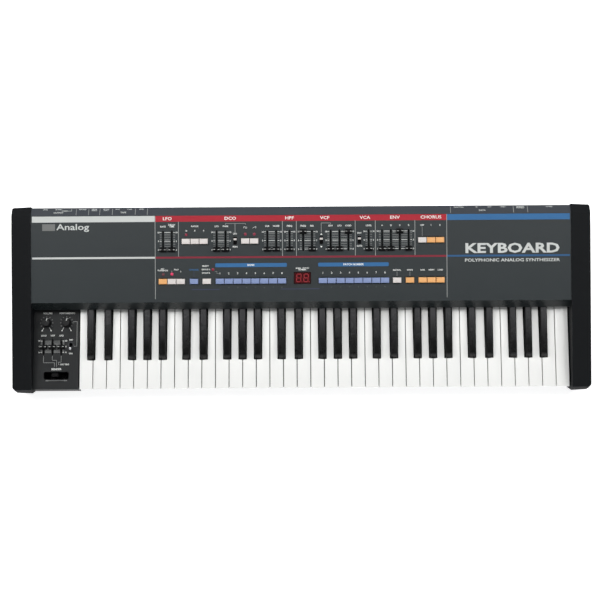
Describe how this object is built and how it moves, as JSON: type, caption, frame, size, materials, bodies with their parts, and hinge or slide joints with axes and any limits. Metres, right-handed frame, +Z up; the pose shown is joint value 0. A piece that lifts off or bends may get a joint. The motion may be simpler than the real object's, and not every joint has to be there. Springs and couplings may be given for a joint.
{
  "type": "synthesizer",
  "caption": "Free-standing keyboard synthesizer with piano-size keys, a sloping panel of sliders and buttons, moulded end cheeks and a bender lever at the left.",
  "frame": {"origin": "centre of the bounding box in plan, on the plane the feet stand on", "axes": "+X along the keyboard from low notes to high, +Y from the player to the rear, +Z up"},
  "size_m": [0.992, 0.32, 0.12],
  "materials": {
    "case_paint": "satin",
    "panel_paint": "matte",
    "cheek_plastic": "satin",
    "bender_plastic": "matte",
    "white_key": "gloss",
    "black_key": "satin",
    "cap_plastic": "satin",
    "white_button": "satin",
    "orange_button": "satin",
    "blue_button": "satin",
    "red_window": "gloss",
    "plated_steel": "satin",
    "switch_chrome": "gloss",
    "circuit_board": "satin",
    "socket_plastic": "satin",
    "white_ink": "matte",
    "red_ink": "matte",
    "blue_ink": "matte",
    "lamp_red": "gloss",
    "foot_rubber": "matte"
  },
  "bodies": {
    "case": {"bottom_case": "case_paint", "top_panel": "panel_paint", "left_cheek": "cheek_plastic", "right_cheek": "cheek_plastic", "bender_panel": "bender_plastic", "key_frame": "plated_steel", "display_window": "red_window", "panel_board": "circuit_board", "main_board": "circuit_board", "power_transformer": "plated_steel", "jack_board": "socket_plastic"},
    "dco_buttons": {"dco_buttons": "white_button"},
    "chorus_buttons": {"chorus_buttons": "orange_button"},
    "assign_buttons": {"assign_buttons": "white_button"},
    "bank_buttons": {"bank_buttons": "blue_button"},
    "patch_buttons": {"patch_buttons": "blue_button"},
    "memory_buttons": {"memory_buttons": "orange_button"},
    "portamento_switch": {"portamento_switch": "switch_chrome"},
    "bender_gimbal": {"bender_gimbal": "cap_plastic"},
    "bender_lever": {"bender_lever": "cap_plastic"},
    "volume_knob": {"volume_knob": "cap_plastic"},
    "portamento_knob": {"portamento_knob": "cap_plastic"},
    "power_switch": {"power_switch": "cap_plastic"},
    "white_keys_octave_1": {"white_keys_octave_1": "white_key"},
    "white_keys_octave_2": {"white_keys_octave_2": "white_key"},
    "white_keys_octave_3": {"white_keys_octave_3": "white_key"},
    "white_keys_octave_4": {"white_keys_octave_4": "white_key"},
    "white_keys_octave_5": {"white_keys_octave_5": "white_key"},
    "black_keys_octave_1": {"black_keys_octave_1": "black_key"},
    "black_keys_octave_2": {"black_keys_octave_2": "black_key"},
    "black_keys_octave_3": {"black_keys_octave_3": "black_key"},
    "black_keys_octave_4": {"black_keys_octave_4": "black_key"},
    "black_keys_octave_5": {"black_keys_octave_5": "black_key"},
    "lfo_rate_slider": {"lfo_rate_slider": "cap_plastic"},
    "lfo_delay_slider": {"lfo_delay_slider": "cap_plastic"},
    "dco_lfo_slider": {"dco_lfo_slider": "cap_plastic"},
    "dco_pwm_slider": {"dco_pwm_slider": "cap_plastic"},
    "dco_sub_slider": {"dco_sub_slider": "cap_plastic"},
    "dco_noise_slider": {"dco_noise_slider": "cap_plastic"},
    "hpf_freq_slider": {"hpf_freq_slider": "cap_plastic"},
    "vcf_res_slider": {"vcf_res_slider": "cap_plastic"},
    "vcf_env_slider": {"vcf_env_slider": "cap_plastic"},
    "vcf_lfo_slider": {"vcf_lfo_slider": "cap_plastic"},
    "vca_level_slider": {"vca_level_slider": "cap_plastic"},
    "env_attack_slider": {"env_attack_slider": "cap_plastic"},
    "env_decay_slider": {"env_decay_slider": "cap_plastic"},
    "env_release_slider": {"env_release_slider": "cap_plastic"},
    "vcf_freq_slider": {"vcf_freq_slider": "cap_plastic"},
    "vcf_kybd_slider": {"vcf_kybd_slider": "cap_plastic"},
    "env_sustain_slider": {"env_sustain_slider": "cap_plastic"},
    "bender_dco_slider": {"bender_dco_slider": "cap_plastic"},
    "bender_vcf_slider": {"bender_vcf_slider": "cap_plastic"},
    "bender_lfo_slider": {"bender_lfo_slider": "cap_plastic"},
    "pulse_width_switch": {"pulse_width_switch": "white_button"},
    "filter_polarity_switch": {"filter_polarity_switch": "white_button"},
    "amplifier_mode_switch": {"amplifier_mode_switch": "white_button"},
    "output_level_switch": {"output_level_switch": "cap_plastic"},
    "tape_level_switch": {"tape_level_switch": "cap_plastic"},
    "midi_function_switch": {"midi_function_switch": "cap_plastic"},
    "memory_protect_switch": {"memory_protect_switch": "cap_plastic"}
  },
  "joints": [
    {"name": "white_keys_octave_1_press", "type": "hinge", "parent": "case", "child": "white_keys_octave_1", "pos_m": [-0.30175, 0.048, 0.055], "axis": [1, 0, 0], "range_deg": [0, 2.9], "stiffness_Nm_per_rad": 2, "springref_deg": -14.32},
    {"name": "black_keys_octave_1_press", "type": "hinge", "parent": "case", "child": "black_keys_octave_1", "pos_m": [-0.30175, 0.048, 0.055], "axis": [1, 0, 0], "range_deg": [0, 2.9], "stiffness_Nm_per_rad": 1.5, "springref_deg": -14.32},
    {"name": "white_keys_octave_2_press", "type": "hinge", "parent": "case", "child": "white_keys_octave_2", "pos_m": [-0.13725, 0.048, 0.055], "axis": [1, 0, 0], "range_deg": [0, 2.9], "stiffness_Nm_per_rad": 2, "springref_deg": -14.32},
    {"name": "black_keys_octave_2_press", "type": "hinge", "parent": "case", "child": "black_keys_octave_2", "pos_m": [-0.13725, 0.048, 0.055], "axis": [1, 0, 0], "range_deg": [0, 2.9], "stiffness_Nm_per_rad": 1.5, "springref_deg": -14.32},
    {"name": "white_keys_octave_3_press", "type": "hinge", "parent": "case", "child": "white_keys_octave_3", "pos_m": [0.02725, 0.048, 0.055], "axis": [1, 0, 0], "range_deg": [0, 2.9], "stiffness_Nm_per_rad": 2, "springref_deg": -14.32},
    {"name": "black_keys_octave_3_press", "type": "hinge", "parent": "case", "child": "black_keys_octave_3", "pos_m": [0.02725, 0.048, 0.055], "axis": [1, 0, 0], "range_deg": [0, 2.9], "stiffness_Nm_per_rad": 1.5, "springref_deg": -14.32},
    {"name": "white_keys_octave_4_press", "type": "hinge", "parent": "case", "child": "white_keys_octave_4", "pos_m": [0.19175, 0.048, 0.055], "axis": [1, 0, 0], "range_deg": [0, 2.9], "stiffness_Nm_per_rad": 2, "springref_deg": -14.32},
    {"name": "black_keys_octave_4_press", "type": "hinge", "parent": "case", "child": "black_keys_octave_4", "pos_m": [0.19175, 0.048, 0.055], "axis": [1, 0, 0], "range_deg": [0, 2.9], "stiffness_Nm_per_rad": 1.5, "springref_deg": -14.32},
    {"name": "white_keys_octave_5_press", "type": "hinge", "parent": "case", "child": "white_keys_octave_5", "pos_m": [0.35625, 0.048, 0.055], "axis": [1, 0, 0], "range_deg": [0, 2.9], "stiffness_Nm_per_rad": 2, "springref_deg": -14.32},
    {"name": "black_keys_octave_5_press", "type": "hinge", "parent": "case", "child": "black_keys_octave_5", "pos_m": [0.35625, 0.048, 0.055], "axis": [1, 0, 0], "range_deg": [0, 2.9], "stiffness_Nm_per_rad": 1.5, "springref_deg": -14.32},
    {"name": "lfo_rate_slide", "type": "slide", "parent": "case", "child": "lfo_rate_slider", "axis": [0, 0.9903, 0.1392], "range_m": [0, 0.03]},
    {"name": "lfo_delay_slide", "type": "slide", "parent": "case", "child": "lfo_delay_slider", "axis": [0, 0.9903, 0.1392], "range_m": [0, 0.03]},
    {"name": "dco_lfo_slide", "type": "slide", "parent": "case", "child": "dco_lfo_slider", "axis": [0, 0.9903, 0.1392], "range_m": [0, 0.03]},
    {"name": "dco_pwm_slide", "type": "slide", "parent": "case", "child": "dco_pwm_slider", "axis": [0, 0.9903, 0.1392], "range_m": [0, 0.03]},
    {"name": "dco_sub_slide", "type": "slide", "parent": "case", "child": "dco_sub_slider", "axis": [0, 0.9903, 0.1392], "range_m": [0, 0.03]},
    {"name": "dco_noise_slide", "type": "slide", "parent": "case", "child": "dco_noise_slider", "axis": [0, 0.9903, 0.1392], "range_m": [0, 0.03]},
    {"name": "hpf_freq_slide", "type": "slide", "parent": "case", "child": "hpf_freq_slider", "axis": [0, 0.9903, 0.1392], "range_m": [0, 0.03]},
    {"name": "vcf_res_slide", "type": "slide", "parent": "case", "child": "vcf_res_slider", "axis": [0, 0.9903, 0.1392], "range_m": [0, 0.03]},
    {"name": "vcf_env_slide", "type": "slide", "parent": "case", "child": "vcf_env_slider", "axis": [0, 0.9903, 0.1392], "range_m": [0, 0.03]},
    {"name": "vcf_lfo_slide", "type": "slide", "parent": "case", "child": "vcf_lfo_slider", "axis": [0, 0.9903, 0.1392], "range_m": [0, 0.03]},
    {"name": "vca_level_slide", "type": "slide", "parent": "case", "child": "vca_level_slider", "axis": [0, 0.9903, 0.1392], "range_m": [0, 0.03]},
    {"name": "env_attack_slide", "type": "slide", "parent": "case", "child": "env_attack_slider", "axis": [0, 0.9903, 0.1392], "range_m": [0, 0.03]},
    {"name": "env_decay_slide", "type": "slide", "parent": "case", "child": "env_decay_slider", "axis": [0, 0.9903, 0.1392], "range_m": [0, 0.03]},
    {"name": "env_release_slide", "type": "slide", "parent": "case", "child": "env_release_slider", "axis": [0, 0.9903, 0.1392], "range_m": [0, 0.03]},
    {"name": "vcf_freq_slide", "type": "slide", "parent": "case", "child": "vcf_freq_slider", "axis": [0, 0.9903, 0.1392], "range_m": [-0.03, 0]},
    {"name": "vcf_kybd_slide", "type": "slide", "parent": "case", "child": "vcf_kybd_slider", "axis": [0, 0.9903, 0.1392], "range_m": [-0.03, 0]},
    {"name": "env_sustain_slide", "type": "slide", "parent": "case", "child": "env_sustain_slider", "axis": [0, 0.9903, 0.1392], "range_m": [-0.03, 0]},
    {"name": "bender_dco_slide", "type": "slide", "parent": "case", "child": "bender_dco_slider", "axis": [0, 1, 0], "range_m": [-0.0108, 0.0092]},
    {"name": "bender_vcf_slide", "type": "slide", "parent": "case", "child": "bender_vcf_slider", "axis": [0, 1, 0], "range_m": [-0.0108, 0.0092]},
    {"name": "bender_lfo_slide", "type": "slide", "parent": "case", "child": "bender_lfo_slider", "axis": [0, 1, 0], "range_m": [-0.0108, 0.0092]},
    {"name": "pulse_width_switch_slide", "type": "slide", "parent": "case", "child": "pulse_width_switch", "axis": [0, 0.9903, 0.1392], "range_m": [-0.0048, 0]},
    {"name": "filter_polarity_switch_slide", "type": "slide", "parent": "case", "child": "filter_polarity_switch", "axis": [0, 0.9903, 0.1392], "range_m": [-0.0048, 0]},
    {"name": "amplifier_mode_switch_slide", "type": "slide", "parent": "case", "child": "amplifier_mode_switch", "axis": [0, 0.9903, 0.1392], "range_m": [-0.0048, 0]},
    {"name": "dco_buttons_press", "type": "slide", "parent": "case", "child": "dco_buttons", "axis": [0, 0.1392, -0.9903], "range_m": [0, 0.0012], "stiffness_N_per_m": 300, "springref_m": -0.002},
    {"name": "chorus_buttons_press", "type": "slide", "parent": "case", "child": "chorus_buttons", "axis": [0, 0.1392, -0.9903], "range_m": [0, 0.0012], "stiffness_N_per_m": 300, "springref_m": -0.002},
    {"name": "assign_buttons_press", "type": "slide", "parent": "case", "child": "assign_buttons", "axis": [0, 0.1392, -0.9903], "range_m": [0, 0.0012], "stiffness_N_per_m": 300, "springref_m": -0.002},
    {"name": "bank_buttons_press", "type": "slide", "parent": "case", "child": "bank_buttons", "axis": [0, 0.1392, -0.9903], "range_m": [0, 0.0012], "stiffness_N_per_m": 300, "springref_m": -0.002},
    {"name": "patch_buttons_press", "type": "slide", "parent": "case", "child": "patch_buttons", "axis": [0, 0.1392, -0.9903], "range_m": [0, 0.0012], "stiffness_N_per_m": 300, "springref_m": -0.002},
    {"name": "memory_buttons_press", "type": "slide", "parent": "case", "child": "memory_buttons", "axis": [0, 0.1392, -0.9903], "range_m": [0, 0.0012], "stiffness_N_per_m": 300, "springref_m": -0.002},
    {"name": "output_level_switch_slide", "type": "slide", "parent": "case", "child": "output_level_switch", "axis": [1, 0, 0], "range_m": [-0.003, 0.003]},
    {"name": "tape_level_switch_slide", "type": "slide", "parent": "case", "child": "tape_level_switch", "axis": [1, 0, 0], "range_m": [0, 0.004]},
    {"name": "midi_function_switch_slide", "type": "slide", "parent": "case", "child": "midi_function_switch", "axis": [1, 0, 0], "range_m": [0, 0.006]},
    {"name": "memory_protect_switch_slide", "type": "slide", "parent": "case", "child": "memory_protect_switch", "axis": [1, 0, 0], "range_m": [0, 0.004]},
    {"name": "volume_knob_turn", "type": "hinge", "parent": "case", "child": "volume_knob", "pos_m": [-0.4415, -0.038, 0.063], "axis": [0, 0, 1], "range_deg": [-130, 170]},
    {"name": "portamento_knob_turn", "type": "hinge", "parent": "case", "child": "portamento_knob", "pos_m": [-0.407, -0.038, 0.063], "axis": [0, 0, 1], "range_deg": [-130, 170]},
    {"name": "portamento_switch_throw", "type": "hinge", "parent": "case", "child": "portamento_switch", "pos_m": [-0.399, -0.0765, 0.06], "axis": [1, 0, 0], "range_deg": [-56, 0]},
    {"name": "power_switch_throw", "type": "hinge", "parent": "case", "child": "power_switch", "pos_m": [0.429, 0.148, 0.07], "axis": [1, 0, 0], "range_deg": [0, 14]},
    {"name": "bender_gimbal_swing", "type": "hinge", "parent": "case", "child": "bender_gimbal", "pos_m": [-0.4235, -0.1296, 0.036], "axis": [0, 1, 0], "range_deg": [-25, 25], "stiffness_Nm_per_rad": 0.08},
    {"name": "bender_lever_push", "type": "hinge", "parent": "bender_gimbal", "child": "bender_lever", "pos_m": [-0.4235, -0.1296, 0.036], "axis": [-1, 0, 0], "range_deg": [0, 5], "stiffness_Nm_per_rad": 0.1, "springref_deg": -5.73}
  ]
}
